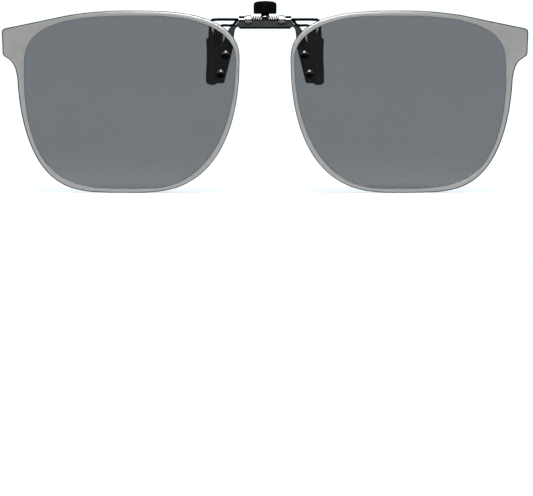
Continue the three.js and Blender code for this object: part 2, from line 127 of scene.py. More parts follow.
def on_face(x, depth, z):
    """A point that far behind the face sphere."""
    return (x, depth + sag(x, z), z)


def build(name, shells, material, body, replaces):
    """One object from closed shells, each a list of points and a list of faces. body is the body
    it rides, or two points for a piece that spans the clip base and the rear jaw; these points
    are not used, and such a piece rides no body."""
    points, faces = [], []
    for shell_points, shell_faces in shells:
        faces += [tuple(i + len(points) for i in face) for face in shell_faces]
        points += [Vector(p) * MM + ORIGIN for p in shell_points]
    mesh = bpy.data.meshes.new(name)
    mesh.from_pydata(points, [], faces)
    work = bmesh.new()
    work.from_mesh(mesh)
    bmesh.ops.recalc_face_normals(work, faces=work.faces)
    work.to_mesh(mesh)
    work.free()
    mesh.shade_smooth()
    mesh.set_sharp_from_angle(angle=SHARP_ANGLE)
    mesh.materials.append(material)
    piece = bpy.data.objects.new(name, mesh)
    bpy.context.scene.collection.objects.link(piece)
    if isinstance(body, str):
        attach(piece, body)
    else:
        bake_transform(piece)
    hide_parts(*replaces)


def mirrored(shells):
    """The same shells on the wearer's other side."""
    return [([(-x, y, z) for x, y, z in points], faces) for points, faces in shells]


def build_pair(name, shells, material, body):
    """The wearer's left piece and its mirror image, each standing for its own CAD node."""
    build(name + "_left_fine", shells, material, body, [name + "_left"])
    build(name + "_right_fine", mirrored(shells), material, body, [name + "_right"])


def welded(points, faces):
    """The shell with points at the same place made one and collapsed faces left out."""
    index, kept, where = {}, [], []
    for p in points:
        key = tuple(round(c, 5) for c in p)
        if key not in index:
            index[key] = len(kept)
            kept.append(p)
        where.append(index[key])
    tidy = []
    for face in faces:
        face = [where[i] for i in face]
        face = [i for k, i in enumerate(face) if i != face[k - 1]]
        if len(face) > 2:
            tidy.append(tuple(face))
    return kept, tidy


def loft(rows, ring=False):
    """A closed shell through rows of points, each a closed loop. A ring joins its ends, and
    anything else is capped."""
    columns = len(rows[0])
    points = [p for row in rows for p in row]
    faces = []
    for r in range(len(rows) if ring else len(rows) - 1):
        a, b = r * columns, (r + 1) % len(rows) * columns
        for c in range(columns):
            d = (c + 1) % columns
            faces.append((a + c, a + d, b + d, b + c))
    if not ring:
        faces.append(tuple(range(columns)))
        faces.append(tuple(len(points) - 1 - c for c in range(columns)))
    return welded(points, faces)


def smooth_path(points, steps, closed=False):
    """Points along a centripetal Catmull-Rom curve, with that many steps between each two."""
    points = [Vector(p) for p in points]
    count = len(points)
    if closed:
        ends = [points[-1], *points, points[0], points[1]]
    else:
        ends = [2 * points[0] - points[1], *points, 2 * points[-1] - points[-2]]
    path = []
    for i in range(count if closed else count - 1):
        p0, p1, p2, p3 = ends[i : i + 4]
        t1 = max((p1 - p0).length, 1e-6) ** 0.5
        t2 = t1 + max((p2 - p1).length, 1e-6) ** 0.5
        t3 = t2 + max((p3 - p2).length, 1e-6) ** 0.5
        for k in range(steps):
            t = t1 + (t2 - t1) * k / steps
            a1 = p0 * (t1 - t) / t1 + p1 * t / t1
            a2 = p1 * (t2 - t) / (t2 - t1) + p2 * (t - t1) / (t2 - t1)
            a3 = p2 * (t3 - t) / (t3 - t2) + p3 * (t - t2) / (t3 - t2)
            b1 = a1 * (t2 - t) / t2 + a2 * t / t2
            b2 = a2 * (t3 - t) / (t3 - t1) + a3 * (t - t1) / (t3 - t1)
            path.append(b1 * (t2 - t) / (t2 - t1) + b2 * (t - t1) / (t2 - t1))
    return path if closed else [*path, points[-1]]


def circle(radius, sides):
    turns = [2 * math.pi * k / sides for k in range(sides)]
    return [(radius * math.cos(a), radius * math.sin(a)) for a in turns]


def round_wire(path, radius, sides=14):
    """A round wire along a path, with rounded ends."""
    path = [Vector(p) for p in path]
    tangents = [(b - a).normalized() for a, b in zip([path[0], *path], [*path[1:], path[-1]])]
    across = tangents[0].orthogonal().normalized()
    section = circle(radius, sides)
    rows = []
    for i, (at, along) in enumerate(zip(path, tangents)):
        across = (across - along * across.dot(along)).normalized()
        up = along.cross(across)
        for reach, share in end_rows(i, len(path)):
            centre = at + along * reach * radius
            rows.append([tuple(centre + (across * u + up * v) * share) for u, v in section])
    return loft(rows)


def end_rows(i, count):
    """The rows at a wire's point i, as (reach along it, share of the radius) pairs: a dome at
    either end, and one plain row between."""
    dome = [(math.sin(math.radians(a)), math.cos(math.radians(a))) for a in (0, 30, 55, 75, 88)]
    if i == 0:
        return [(-reach, share) for reach, share in reversed(dome)]
    return dome if i == count - 1 else [(0, 1)]


def turned(profile, sides):
    """A shell turned from (radius, place along the axis) pairs, which start and end on the axis
    or close on themselves. The axis is the first coordinate of each point."""
    rows = []
    for radius, along in profile:
        section = circle(max(radius, TINY), sides)
        rows.append([(along, u, v) for u, v in section])
    return loft(rows, ring=profile[0][0] > 0)


def curve(start, bend, end, t):
    """A point along a quadratic arc."""
    return start * (1 - t) ** 2 + bend * 2 * t * (1 - t) + end * t * t


def rounded(profile, radius):
    """A closed profile with its corners cut to arcs. A corner is (a, b) or (a, b, its own
    radius)."""
    result = []
    for k, corner in enumerate(profile):
        here, r = Vector(corner[:2]), corner[2] if len(corner) > 2 else radius
        before, after = Vector(profile[k - 1][:2]), Vector(profile[(k + 1) % len(profile)][:2])
        start = here + (before - here).normalized() * r
        end = here + (after - here).normalized() * r
        for s in range(CORNER_STEPS + 1):
            result.append(tuple(curve(start, here, end, s / CORNER_STEPS)))
    return result


def outline(start, *moves, step=0.35):
    """Points along lines, (x, z), and quadratic arcs, (control x, control z, x, z)."""
    points, here = [], Vector(start)
    for move in moves:
        end, curved = Vector(move[-2:]), len(move) == 4
        bend = Vector(move[:2]) if curved else (here + end) / 2
        length = (bend - here).length + (end - bend).length
        count = max(5 if curved else 1, round(length / step))
        points += [curve(here, bend, end, k / count) for k in range(count)]
        here = end
    return [tuple(p) for p in [*points, here]]


def both_sides(half):
    """A half outline and its mirror image, with the points on the middle line taken once."""
    return half + [(-x, z) for x, z in reversed(half) if x > 0]


def counterclockwise(loop):
    """The loop, turned round if it runs clockwise."""
    area = sum(a[0] * b[1] - b[0] * a[1] for a, b in zip(loop, [*loop[1:], loop[0]]))
    return loop if area > 0 else loop[::-1]


def outward(loop):
    """The outward normal at each point of a counterclockwise loop, lengthened at corners so
    that an offset keeps its width."""
    normals = []
    for k, here in enumerate(loop):
        before = Vector(here) - Vector(loop[k - 1])
        after = Vector(loop[(k + 1) % len(loop)]) - Vector(here)
        a = Vector((before.y, -before.x)).normalized()
        b = Vector((after.y, -after.x)).normalized()
        middle = (a + b).normalized()
        normals.append(middle / max(MITRE, middle.dot(a)))
    return normals


def offset(loop, normals, distance):
    """The loop moved out along its normals."""
    return [(x + n.x * distance, z + n.y * distance) for (x, z), n in zip(loop, normals)]


def contains(loop, x, z):
    """Whether a point is inside a loop."""
    inside = False
    for (x0, z0), (x1, z1) in zip(loop, [*loop[1:], loop[0]]):
        if (z0 > z) != (z1 > z) and x < x0 + (z - z0) * (x1 - x0) / (z1 - z0):
            inside = not inside
    return inside


def filled(loop, holes, pitch):
    """Triangles over a loop with round holes, on a regular net of points: (points, faces)."""
    edges = [(k, (k + 1) % len(loop)) for k in range(len(loop))]
    points = list(loop)
    for (x, z), radius in holes:
        start = len(points)
        points += [(x + u, z + v) for u, v in circle(radius, HOLE_SIDES)]
        edges += [(start + k, start + (k + 1) % HOLE_SIDES) for k in range(HOLE_SIDES)]
    xs, zs = [p[0] for p in loop], [p[1] for p in loop]
    border = list(points)
    row_height = pitch * math.sqrt(3) / 2
    for row in range(int((max(zs) - min(zs)) / row_height) + 1):
        z = min(zs) + (row + 0.5) * row_height
        for column in range(int((max(xs) - min(xs)) / pitch) + 1):
            x = min(xs) + (column + 0.25 + 0.5 * (row % 2)) * pitch
            near = min((x - u) ** 2 + (z - v) ** 2 for u, v in border)
            if near > (0.5 * pitch) ** 2 and contains(loop, x, z):
                points.append((x, z))
    found = delaunay_2d_cdt([Vector(p) for p in points], edges, [], 1, 1e-7)
    places, triangles = [tuple(p) for p in found[0]], found[2]
    kept = []
    for face in triangles:
        x = sum(places[i][0] for i in face) / len(face)
        z = sum(places[i][1] for i in face) / len(face)
        in_hole = any(math.hypot(x - u, z - v) < radius for (u, v), radius in holes)
        if contains(loop, x, z) and not in_hole:
            kept.append(tuple(face))
    return places, kept


def quarter(radius, steps=4):
    """(inset, drop) pairs round a rounded edge, from the face to the side."""
    turns = [math.pi / 2 * k / steps for k in range(steps + 1)]
    return [(radius * (1 - math.sin(a)), radius * (1 - math.cos(a))) for a in turns]


def upright(x, depth, z):
    """A point on a flat sheet, which doesn't follow the face sphere."""
    return (x, depth, z)


def sheet(loop, depths, edge, pitch, holes=(), place=on_face, relief=None, edge_steps=4):
    """A sheet with rounded edges and round holes, cut to a loop in X and Z between two depths.
    pitch is how far apart the points on its faces are, and relief(x, z) pushes its front back."""
    front, back = depths
    loop = counterclockwise(loop)
    normals = outward(loop)
    flat = offset(loop, normals, -edge - FLAT_MARGIN)
    places, triangles = filled(flat, holes, pitch)
    count = len(places)
    push = relief or (lambda x, z: 0)
    points = [place(x, front + push(x, z), z) for x, z in places]
    points += [place(x, back, z) for x, z in places]
    faces = [*triangles, *(tuple(i + count for i in reversed(face)) for face in triangles)]

    turn = quarter(edge, edge_steps)
    rows = [(edge + FLAT_MARGIN, front)]
    rows += [(inset, front + drop) for inset, drop in turn]
    rows += [(inset, back - drop) for inset, drop in reversed(turn)]
    rows.append((edge + FLAT_MARGIN, back))
    start = len(points)
    for inset, depth in rows:
        ring = offset(loop, normals, -inset)
        fade = 1 - (depth - front) / (back - front)
        for (x, z), (flat_x, flat_z) in zip(ring, flat):
            points.append(place(x, depth + push(flat_x, flat_z) * fade, z))
    wall(faces, start, len(rows), len(loop))
    for (x, z), radius in holes:
        start = len(points)
        for depth in (front, back):
            points += [place(x + u, depth, z + v) for u, v in circle(radius, HOLE_SIDES)]
        wall(faces, start, 2, HOLE_SIDES)
    return welded(points, faces)


def wall(faces, start, rows, columns):
    """Adds quads between rows of points that begin at start, each row a closed loop."""
    for r in range(rows - 1):
        a, b = start + r * columns, start + (r + 1) * columns
        for c in range(columns):
            d = (c + 1) % columns
            faces.append((a + c, b + c, b + d, a + d))


def strap(path, x_middle, half_width, thickness, corner=0.07):
    """A bent strip of sheet metal: path holds (y, z) pairs. thickness is a function of how far
    along the path a point is, from 0 to 1, and half_width is one too or a number."""
    wide = half_width if callable(half_width) else lambda t: half_width
    rows, last = [], len(path) - 1
    for i, (y, z) in enumerate(path):
        (y0, z0), (y1, z1) = path[max(i - 1, 0)], path[min(i + 1, last)]
        length = math.hypot(y1 - y0, z1 - z0)
        along = ((y1 - y0) / length, (z1 - z0) / length)
        across = (-along[1], along[0])
        ends = [(-corner, corner), (0, 0)] if i == 0 else [(0, 0)]
        if i == last:
            ends = [(0, 0), (corner, corner)]
        for reach, less in ends:
            w, h = wide(i / last) - less, thickness(i / last) / 2 - less
            section = rounded([(-w, -h), (w, -h), (w, h), (-w, h)], corner)
            at_y, at_z = along[0] * reach, along[1] * reach
            rows.append([
                (x_middle + u, y + across[0] * v + at_y, z + across[1] * v + at_z)
                for u, v in section
            ])
    return loft(rows)


def round_axis(radius, start, end, step=8):
    """(y, z) pairs round the hinge axis, from one angle to another in degrees."""
    count = max(2, round(abs(end - start) / step))
    angles = [math.radians(start + (end - start) * k / count) for k in range(count + 1)]
    return [(AXIS_Y + radius * math.cos(a), AXIS_Z + radius * math.sin(a)) for a in angles]


# ---------------------------------------------------------------- finishes

# (share, grey) stops for shade(), which paint shade and reflections into a finish by the way
# its surface faces.
RIM_PAINTED_EDGE_SHADE = [(0.2, 1), (0.3, 0.04), (0.88, 0.04), (0.955, 1)]
LACQUER_PAINTED_EDGE_SHADE = [(0.2, 1), (0.3, 0.05), (0.975, 0.05), (0.992, 1)]
PLATING_PAINTED_EDGE_SHADE = [(0.02, 1), (0.12, 0.01), (0.68, 0.01), (0.82, 1)]
PLATING_PAINTED_HORIZON_REFLECTION = [(0.32, 1), (0.35, 0.02), (0.45, 0.02), (0.48, 1)]
RIVET_PAINTED_SHADE_BELOW = [(0.5, 0), (0.6, 1)]


def finish_of(name, **sockets):
    """A material with its plain values set on the shader itself: (material, tree, shader)."""
    material = bpy.data.materials.new(name)
    material.use_nodes = True
    shader = material.node_tree.nodes["Principled BSDF"]
    for socket, value in sockets.items():
        shader.inputs[socket.replace("_", " ")].default_value = value
    return material, material.node_tree, shader


def grain(tree, size, detail, stretch=(1, 1, 1)):
    """Noise whose features are about size millimetres across, stretched along X, Y and Z."""
    coordinates = tree.nodes.new("ShaderNodeTexCoord")
    mapping = tree.nodes.new("ShaderNodeMapping")
    mapping.inputs["Scale"].default_value = [1 / s for s in stretch]
    texture = tree.nodes.new("ShaderNodeTexNoise")
    texture.inputs["Scale"].default_value = 1 / (size * MM)
    texture.inputs["Detail"].default_value = detail
    tree.links.new(coordinates.outputs["Object"], mapping.inputs["Vector"])
    tree.links.new(mapping.outputs["Vector"], texture.inputs["Vector"])
    return texture.outputs["Fac"]


def tone(tree, value, dark, light, target):
    """Colours a socket from dark to light as value goes from 0.35 to 0.65."""
    ramp = tree.nodes.new("ShaderNodeValToRGB")
    low, high = ramp.color_ramp.elements
    low.position, high.position = 0.35, 0.65
    low.color, high.color = (*dark, 1), (*light, 1)
    tree.links.new(value, ramp.inputs["Fac"])
    tree.links.new(ramp.outputs["Color"], target)
    return ramp.outputs["Color"]


def spread(tree, value, start, end, low, high, target):
    """Drives a number between low and high as value goes from start to end."""
    node = tree.nodes.new("ShaderNodeMapRange")
    ends = {"From Min": start, "From Max": end, "To Min": low, "To Max": high}
    for socket, number in ends.items():
        node.inputs[socket].default_value = number
    tree.links.new(value, node.inputs["Value"])
    tree.links.new(node.outputs["Result"], target)


def vary(tree, noise, low, high, target):
    """Drives a number between low and high with the middle of a noise's range."""
    spread(tree, noise, 0.3, 0.7, low, high, target)


def bump(tree, shader, height, depth, strength):
    """Raises the surface by up to depth millimetres where height is 1."""
    node = tree.nodes.new("ShaderNodeBump")
    node.inputs["Distance"].default_value = depth * MM
    node.inputs["Strength"].default_value = strength
    tree.links.new(height, node.inputs["Height"])
    tree.links.new(node.outputs["Normal"], shader.inputs["Normal"])


def grey_ramp(tree, value, stops):
    """A grey that follows a value through (value, grey) stops."""
    ramp = tree.nodes.new("ShaderNodeValToRGB")
    ramp.color_ramp.elements.remove(ramp.color_ramp.elements[1])
    for at, grey in stops[1:]:
        ramp.color_ramp.elements.new(at).color = (grey, grey, grey, 1)
    at, grey = stops[0]
    ramp.color_ramp.elements[0].position = at
    ramp.color_ramp.elements[0].color = (grey, grey, grey, 1)
    tree.links.new(value, ramp.inputs["Fac"])
    return ramp.outputs["Color"]


def shade(tree, axis, signed, stops):
    """A grey that follows how far the surface faces along an axis. stops holds (share, grey),
    where the share is 0 across the axis and 1 along it either way, or, if signed, 0 straight
    against the axis and 1 straight along it."""
    coordinates = tree.nodes.new("ShaderNodeTexCoord")
    split = tree.nodes.new("ShaderNodeSeparateXYZ")
    share = tree.nodes.new("ShaderNodeMath")
    share.operation = "MULTIPLY_ADD" if signed else "ABSOLUTE"
    share.inputs[1].default_value = share.inputs[2].default_value = 0.5
    tree.links.new(coordinates.outputs["Normal"], split.inputs["Vector"])
    tree.links.new(split.outputs[axis], share.inputs[0])
    return grey_ramp(tree, share.outputs["Value"], stops)


def multiply(tree, first, second, target):
    """Drives a colour socket with the product of two colours."""
    mix = tree.nodes.new("ShaderNodeMix")
    mix.data_type, mix.blend_type = "RGBA", "MULTIPLY"
    mix.inputs["Factor"].default_value = 1
    tree.links.new(first, mix.inputs[6])
    tree.links.new(second, mix.inputs[7])
    tree.links.new(mix.outputs[2], target)
    return mix.outputs[2]


def rim_plating():
    """Satin plating, finely brushed, with painted shade: a dark line along its rounded edges."""
    material, tree, shader = finish_of("rim_plating", Metallic=1.0)
    cloud = grain(tree, 2.2, 3)
    brushing = grain(tree, 0.09, 3, stretch=(9, 1, 1))
    base = shader.inputs["Base Color"]
    light = tone(tree, cloud, (0.66, 0.662, 0.665), (0.71, 0.712, 0.715), base)
    # painted shade: the rounded edges are darkened by which way they face, in place of the dark
    # room they reflect
    multiply(tree, light, shade(tree, "Y", False, RIM_PAINTED_EDGE_SHADE), base)
    vary(tree, brushing, 0.3, 0.42, shader.inputs["Roughness"])
    bump(tree, shader, brushing, 0.004, 0.35)
    return material


def sun_lens():
    """Grey polarised sheet, see-through, with a hard polished surface."""
    material, tree, shader = finish_of("sun_lens", Alpha=0.604, IOR=1.5, Specular_IOR_Level=0.12)
    cloud, base = grain(tree, 14, 2), shader.inputs["Base Color"]
    tone(tree, cloud, (0.0105, 0.011, 0.0115), (0.013, 0.0135, 0.014), base)
    vary(tree, grain(tree, 5, 2), 0.035, 0.07, shader.inputs["Roughness"])
    return material


def black_lacquer(name, colour, roughness, specular):
    """Thin lacquer over steel: a fine orange peel, and painted shade that makes it darker and
    duller along its rounded edges."""
    material, tree, shader = finish_of(name, IOR=1.45)
    cloud = grain(tree, 1.1, 4)
    base = shader.inputs["Base Color"]
    light = tone(tree, cloud, (colour * 0.85,) * 3, (colour * 1.15,) * 3, base)
    # painted shade: the rounded edges are darkened, and their reflection cut, by which way they
    # face
    edges = shade(tree, "Y", False, LACQUER_PAINTED_EDGE_SHADE)
    multiply(tree, light, edges, base)
    spread(tree, edges, 0, 1, 0, specular, shader.inputs["Specular IOR Level"])
    vary(tree, cloud, *roughness, shader.inputs["Roughness"])
    bump(tree, shader, grain(tree, 0.16, 3), 0.006, 0.5)
    return material


def rivet_lacquer():
    """Glossy black lacquer, with painted shade: no reflection on the side that faces down."""
    material, tree, shader = finish_of("rivet_lacquer", IOR=1.6)
    cloud = grain(tree, 0.6, 4)
    tone(tree, cloud, (0.0015,) * 3, (0.0025,) * 3, shader.inputs["Base Color"])
    # painted shade: the reflection is cut away where the surface faces down
    reflection_above_only = shade(tree, "Z", True, RIVET_PAINTED_SHADE_BELOW)
    tree.links.new(reflection_above_only, shader.inputs["Specular IOR Level"])
    vary(tree, cloud, 0.1, 0.14, shader.inputs["Roughness"])
    return material


def bright_plating():
    """Bright nickel with fine tumbling marks. It has a painted shade outline, and a painted
    reflection: a dark horizon line below the middle of each round form."""
    material, tree, shader = finish_of("bright_plating", Metallic=1.0)
    cloud = grain(tree, 0.8, 3)
    base = shader.inputs["Base Color"]
    light = tone(tree, cloud, (0.86, 0.86, 0.86), (0.93, 0.93, 0.92), base)
    # painted shade: a dark outline, by which way the surface faces
    painted_outline = multiply(tree, light, shade(tree, "Y", False, PLATING_PAINTED_EDGE_SHADE), base)
    # painted reflection: a dark horizon line just below the middle of each round form
    multiply(tree, painted_outline, shade(tree, "Z", True, PLATING_PAINTED_HORIZON_REFLECTION), base)
    vary(tree, cloud, 0.1, 0.2, shader.inputs["Roughness"])
    bump(tree, shader, grain(tree, 0.12, 3), 0.003, 0.3)
    return material


def black_rubber(name, colour, specular):
    """Moulded silicone: matt, with a fine spark-eroded grain from its mould."""
    material, tree, shader = finish_of(name, IOR=1.42, Specular_IOR_Level=specular)
    cloud = grain(tree, 0.7, 4)
    tone(tree, cloud, (colour * 0.7,) * 3, (colour * 1.3,) * 3, shader.inputs["Base Color"])
    vary(tree, cloud, 0.42, 0.6, shader.inputs["Roughness"])
    bump(tree, shader, grain(tree, 0.06, 2), 0.008, 0.6)
    return material


def nylon():
    """Black nylon, matt and faintly clouded."""
    material, tree, shader = finish_of("nylon", IOR=1.5)
    cloud = grain(tree, 0.5, 3)
    tone(tree, cloud, (0.02, 0.02, 0.021), (0.035, 0.035, 0.036), shader.inputs["Base Color"])
    vary(tree, cloud, 0.4, 0.55, shader.inputs["Roughness"])
    return material


RIM_PLATING = rim_plating()
SUN_LENS = sun_lens()
BRACKET_LACQUER = black_lacquer("bracket_lacquer", 0.031, (0.4, 0.55), 0.25)
WIRE_LACQUER = black_lacquer("wire_lacquer", 0.003, (0.35, 0.5), 0.12)
RIVET_LACQUER = rivet_lacquer()
BRIGHT_PLATING = bright_plating()
PAD_RUBBER = black_rubber("pad_rubber", 0.0015, 0.06)
SLEEVE_RUBBER = black_rubber("sleeve_rubber", 0.034, 0.15)
NYLON = nylon()

# ---------------------------------------------------------------- camera, light and stage

DISTANCE = 3.0  # from the camera to the lens plane
ELEVATION = math.radians(2.2)  # of the camera over the object
FRAME_WIDTH = 144.3 * MM  # what the frame's width takes in at the lens plane
AIM = ORIGIN + Vector((0.39, 2, -39.4)) * MM  # in the middle of the frame
ROOM_LIGHT = [(0, 0.57), (0.02, 0.16), (0.52, 0.17), (0.62, 0.6)]  # (height on a unit sphere, grey)
SOFTBOXES = {  # location, size and how bright each looks
    "overhead": ((0, -0.02, 1.3), (0.35, 0.35), 26),
    "key": ((0, -1.15, 0.95), (0.6, 0.3), 22),
    "left": ((-1.3, -0.9, 0.35), (0.7, 0.9), 0.8),
    "right": ((1.3, -0.9, 0.35), (0.7, 0.9), 0.8),
}
LIT_POINT = Vector((0, 0, -0.01))  # what the softboxes face
COOL_WHITE = (1, 1.1, 1.19, 1)  # clips to white, and shows its tint through the lenses
FLOOR_SOLID, FLOOR_GONE = 0.08, 0.45  # the floor fades into the backdrop from here to here
BACKDROP_RADIUS = 4


def place_camera():
    data = bpy.data.cameras.new("camera")
    data.sensor_width = 36
    data.lens = data.sensor_width * DISTANCE / FRAME_WIDTH
    data.clip_start, data.clip_end = 0.01, 50
    camera = bpy.data.objects.new("camera", data)
    camera.location = AIM + Vector((0, -math.cos(ELEVATION), math.sin(ELEVATION))) * DISTANCE
    camera.rotation_euler = (AIM - camera.location).to_track_quat("-Z", "Y").to_euler()
    bpy.context.scene.collection.objects.link(camera)
    bpy.context.scene.camera = camera


def softbox(name, location, size, radiance):
    """A rectangular light facing the object, given by how bright it looks."""
    data = bpy.data.lights.new(name, "AREA")
    data.shape = "RECTANGLE"
    data.size, data.size_y = size
    data.energy = radiance * math.pi * size[0] * size[1]
    light = bpy.data.objects.new(name, data)
    light.location = location
    light.rotation_euler = (LIT_POINT - light.location).to_track_quat("-Z", "Y").to_euler()
    light.visible_camera = False
    bpy.context.scene.collection.objects.link(light)


def backdrop_white():
    """Plain light, with no surface of its own."""
    return finish_of("backdrop_white", Base_Color=(0, 0, 0, 1), Specular_IOR_Level=0,
                     Emission_Color=COOL_WHITE, Emission_Strength=1)[0]


def floor_paper():
    """Plain matt white paper, whose far edge fades into the backdrop."""
    material, tree, shader = finish_of(
        "floor_paper", Roughness=1, Specular_IOR_Level=0, Base_Color=(0.83, 0.9, 0.96, 1),
        Emission_Color=COOL_WHITE, Emission_Strength=0.08,
    )
    coordinates = tree.nodes.new("ShaderNodeTexCoord")
    reach = tree.nodes.new("ShaderNodeVectorMath")
    reach.operation = "LENGTH"
    tree.links.new(coordinates.outputs["Object"], reach.inputs[0])
    alpha = shader.inputs["Alpha"]
    spread(tree, reach.outputs["Value"], FLOOR_SOLID, FLOOR_GONE, 1, 0, alpha)
    return material


def room():
    """A room with a bright ceiling and floor, and dimmer walls between them."""
    world = bpy.data.worlds.new("room")
    world.use_nodes = True
    tree = world.node_tree
    coordinates = tree.nodes.new("ShaderNodeTexCoord")
    split = tree.nodes.new("ShaderNodeSeparateXYZ")
    tree.links.new(coordinates.outputs["Generated"], split.inputs["Vector"])
    light = grey_ramp(tree, split.outputs["Z"], ROOM_LIGHT)
    tree.links.new(light, tree.nodes["Background"].inputs["Color"])
    return world


def light_stage():
    scene = bpy.context.scene
    scene.view_settings.view_transform = "Standard"
    scene.world = room()
    for name, (location, size, radiance) in SOFTBOXES.items():
        softbox(name, location, size, radiance)

    work = bmesh.new()
    bmesh.ops.create_circle(work, cap_ends=True, radius=FLOOR_GONE, segments=96)
    floor = stage_object("floor", work, floor_paper())
    floor.location = (0, 0, CAD_BOX[0].z)
    floor.visible_glossy = False
    work = bmesh.new()
    bmesh.ops.create_icosphere(work, subdivisions=5, radius=BACKDROP_RADIUS)
    backdrop = stage_object("backdrop", work, backdrop_white())
    backdrop.visible_diffuse = backdrop.visible_glossy = False
    backdrop.visible_transmission = backdrop.visible_shadow = False


def stage_object(name, work, material):
    """A part of the stage, which isn't a piece of the object."""
    mesh = bpy.data.meshes.new(name)
    work.to_mesh(mesh)
    work.free()
    mesh.materials.append(material)
    stage = bpy.data.objects.new(name, mesh)
    bpy.context.scene.collection.objects.link(stage)
    return stage


# ---------------------------------------------------------------- rims and lenses


def read_rim(node):
    """The CAD rim's outer edge and aperture on each ray from the lens centre, as (x, z) pairs in
    order round the lens."""
    rays = {}
    for vertex in frame["nodes"][node].data.vertices:
        x, y, z = (vertex.co - ORIGIN) / MM
        if y - sag(x, z) < RIM_DEPTH[0] + ON_FRONT:
            angle = math.atan2(z - LENS_CENTRE[1], x - LENS_CENTRE[0])
            rays.setdefault(round(angle, 4), set()).add((round(x, 4), round(z, 4)))
    merged = []
    for angle in sorted(rays):
        if merged and angle - merged[-1][0] < SAME_RAY:
            merged[-1][1].update(rays[angle])
        else:
            merged.append([angle, set(rays[angle])])
    reach = lambda p: math.hypot(p[0] - LENS_CENTRE[0], p[1] - LENS_CENTRE[1])
    edges = [max(points, key=reach) for _, points in merged]
    apertures = [min(points, key=reach) for _, points in merged]
    return edges, apertures


def fine_loop(points):
    """A smooth loop through the CAD's points."""
    path = smooth_path([(x, z, 0) for x, z in points], SUBDIVISIONS, closed=True)
    return [(p.x, p.y) for p in path]


def rim_shell(edges, apertures):
    """The rim's section, carried round the lens: from the groove over the front, round the outer
    edges and over the back, and into the groove again."""
    front, back = RIM_DEPTH
    out, into = outward(edges), outward(apertures)

    def from_edge(inset, depth):
        return [on_face(x, depth, z) for x, z in offset(edges, out, -inset)]

    def from_hole(inset, depth):
        return [on_face(x, depth, z) for x, z in offset(apertures, into, inset)]

    def face(share, depth):
        start = offset(apertures, into, RIM_LIP + RIM_MARGIN)
        end = offset(edges, out, -RIM_EDGE - RIM_MARGIN)
        return [
            on_face(x0 + (x1 - x0) * share, depth, z0 + (z1 - z0) * share)
            for (x0, z0), (x1, z1) in zip(start, end)
        ]

    lip, edge = quarter(RIM_LIP), quarter(RIM_EDGE)
    rows = [from_hole(0, GROOVE[0])]
    rows += [from_hole(inset, front + drop) for inset, drop in reversed(lip)]
    for share in (0, 0.25, 0.5, 0.75, 1):
        rows.append(face(share, front - RIM_CROWN * 4 * share * (1 - share)))
    rows += [from_edge(inset, front + drop) for inset, drop in edge]
    rows += [from_edge(inset, back - drop) for inset, drop in reversed(edge)]
    rows += [face(1, back), face(0, back)]
    rows += [from_hole(inset, back - drop) for inset, drop in lip]
    rows += [from_hole(0, GROOVE[1]), from_hole(GROOVE_FLOOR, GROOVE[1])]
    rows.append(from_hole(GROOVE_FLOOR, GROOVE[0]))
    return loft(rows, ring=True)


def make_rims_and_lenses():
    edges, apertures = (fine_loop(points) for points in read_rim("rim_left"))
    build_pair("rim", [rim_shell(edges, apertures)], RIM_PLATING, "lens_carrier")
    lens_edge = offset(apertures, outward(apertures), LENS_INTO_GROOVE)
    holes = [(at, RIVET_HOLE) for at in RIVETS.values()]
    lens = sheet(lens_edge, LENS_DEPTH, LENS_EDGE, pitch=2.6, holes=holes)
    build_pair("lens", [lens], SUN_LENS, "lens_carrier")


# ---------------------------------------------------------------- bracket, rivets and spacers


def bracket_loop():
    """Along the bar's lower edge, down and up one arm with its lens plate, and along the bar's
    upper edge with its notch."""
    half = outline(
        (6.8, 19.92), (7.3, 20.5), (8.15, 20.3, 8.3, 18.9), (8.65, 14.8), (10.95, 5.65),
        (11.1, 5.2, 11.6, 5.2), (12.5, 5.2), (13.4, 5.3, 13.4, 6.4), (13.1, 11.6),
        (12.8, 13.9, 11.5, 16.0), (10.0, 19.5), (9.4, 20.75, 8.3, 20.95), (7.3, 21.2, 7.1, 22.1),
        (5.38, 22.1), (5.3, 21.25, 4.45, 21.2), (3.55, 21.25, 3.45, 22.4), (0, 22.4),
    )
    return both_sides(half)


def hook():
    """The bracket's knuckle: a tab that runs back from the bar, under and behind the bushing and
    over its top. It thins from 0.5 to 0.3 before it reaches the bushing."""
    path = [(2.62, 21.7), (2.95, 21.7), (3.3, 21.67), *round_axis(0.82, 252, 492)]
    thickness = lambda t: 0.5 - 0.2 * min(1, t * 9)
    return strap(path, x_middle=6.3, half_width=0.8, thickness=thickness)


def rolled(x, z):
    """How far back the bracket's front lies near the bar's lower edge."""
    on_bar = abs(x) < BAR_HALF_WIDTH and z > BAR_BOTTOM
    return BAR_ROLL * min(1, max(0, (BAR_ROLL_TOP - z) / BAR_ROLL_HEIGHT)) if on_bar else 0


def make_bracket():
    holes = [((side * x, z), RIVET_HOLE) for x, z in RIVETS.values() for side in (1, -1)]
    stamping = sheet(bracket_loop(), BRACKET_DEPTH, BRACKET_EDGE, pitch=0.15, holes=holes,
                     relief=rolled)
    knuckles = [hook(), *mirrored([hook()])]
    build("bridge_bracket_fine", [stamping, *knuckles], BRACKET_LACQUER, "lens_carrier",
          ["bridge_bracket"])


